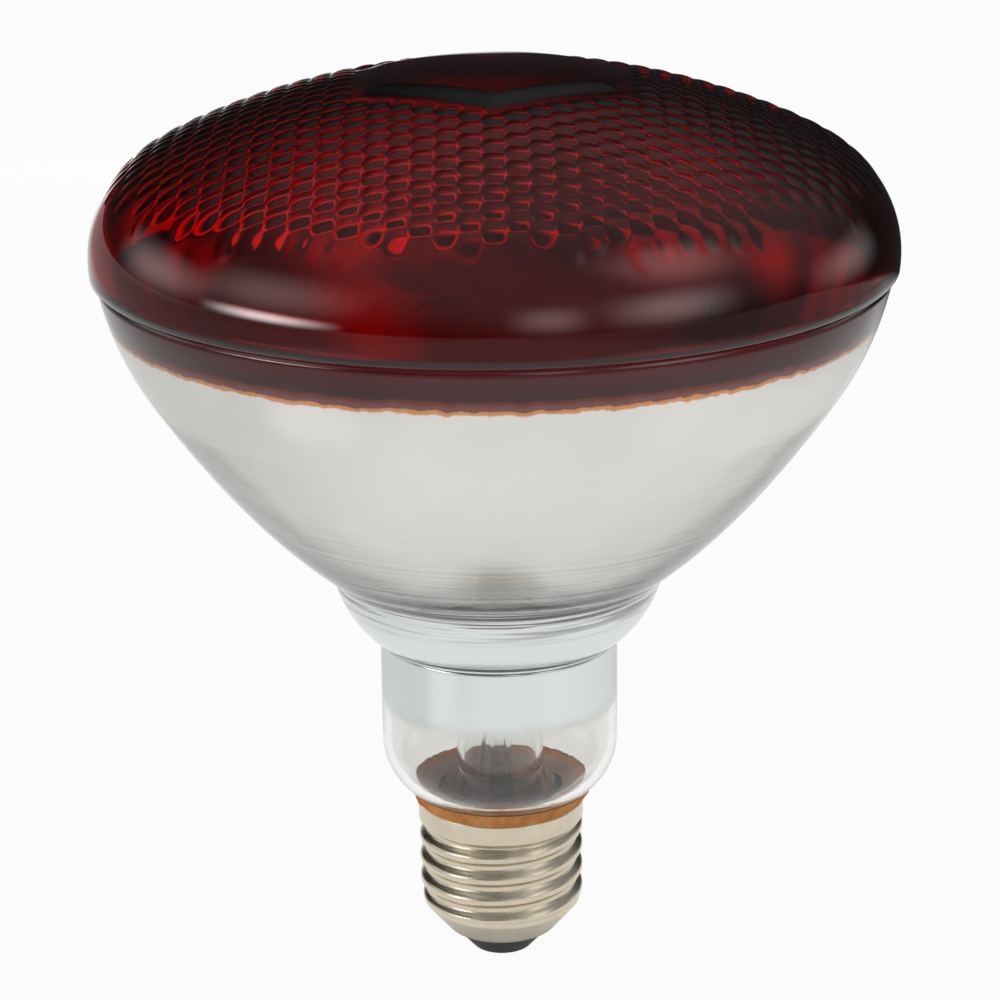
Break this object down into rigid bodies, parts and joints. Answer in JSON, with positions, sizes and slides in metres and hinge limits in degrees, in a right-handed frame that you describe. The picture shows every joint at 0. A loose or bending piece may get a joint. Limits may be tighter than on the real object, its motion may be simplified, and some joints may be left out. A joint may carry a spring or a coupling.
{
  "type": "infrared heat lamp bulb",
  "caption": "Reflector heat lamp bulb with a red stippled glass front, a silvered bowl, a clear glass neck and a rolled metal screw cap; it warms what it shines on.",
  "frame": {"origin": "tip of the centre contact's solder, on the lamp's axis", "axes": "+Z along the axis from the screw cap to the lens, -Y towards the picture's camera"},
  "size_m": [0.1212, 0.1212, 0.1443],
  "materials": {
    "red_glass": "pressed glass, stained ruby red, stippled outside",
    "silvered_glass": "clear glass with a bright aluminium film inside, bare at the neck end",
    "clear_glass": "clear tube glass",
    "nickel_wire": "drawn nickel wire",
    "copper_wire": "tarnished copper wire",
    "tungsten": "coiled tungsten wire",
    "molybdenum": "drawn molybdenum wire",
    "nickel_plate": "rolled sheet, nickel plated",
    "contact_brass": "stamped brass",
    "solder": "cast solder, dull",
    "black_glass": "opaque black glass",
    "cement": "cured capping cement, tan to orange"
  },
  "bodies": {
    "root": {"front_lens": "red_glass", "reflector_bowl": "silvered_glass", "stem_flare": "clear_glass", "exhaust_tube": "clear_glass", "arbor_rod": "clear_glass", "filament": "tungsten", "lead_wire_1": "nickel_wire", "lead_wire_2": "nickel_wire", "cap_wire_centre": "copper_wire", "cap_wire_side": "copper_wire", "support_wire_1": "molybdenum", "support_wire_2": "molybdenum", "support_wire_3": "molybdenum", "cap_shell": "nickel_plate", "cap_cement": "cement", "cap_insulator": "black_glass", "centre_contact": "contact_brass", "centre_solder": "solder", "side_solder": "solder"}
  },
  "joints": []
}
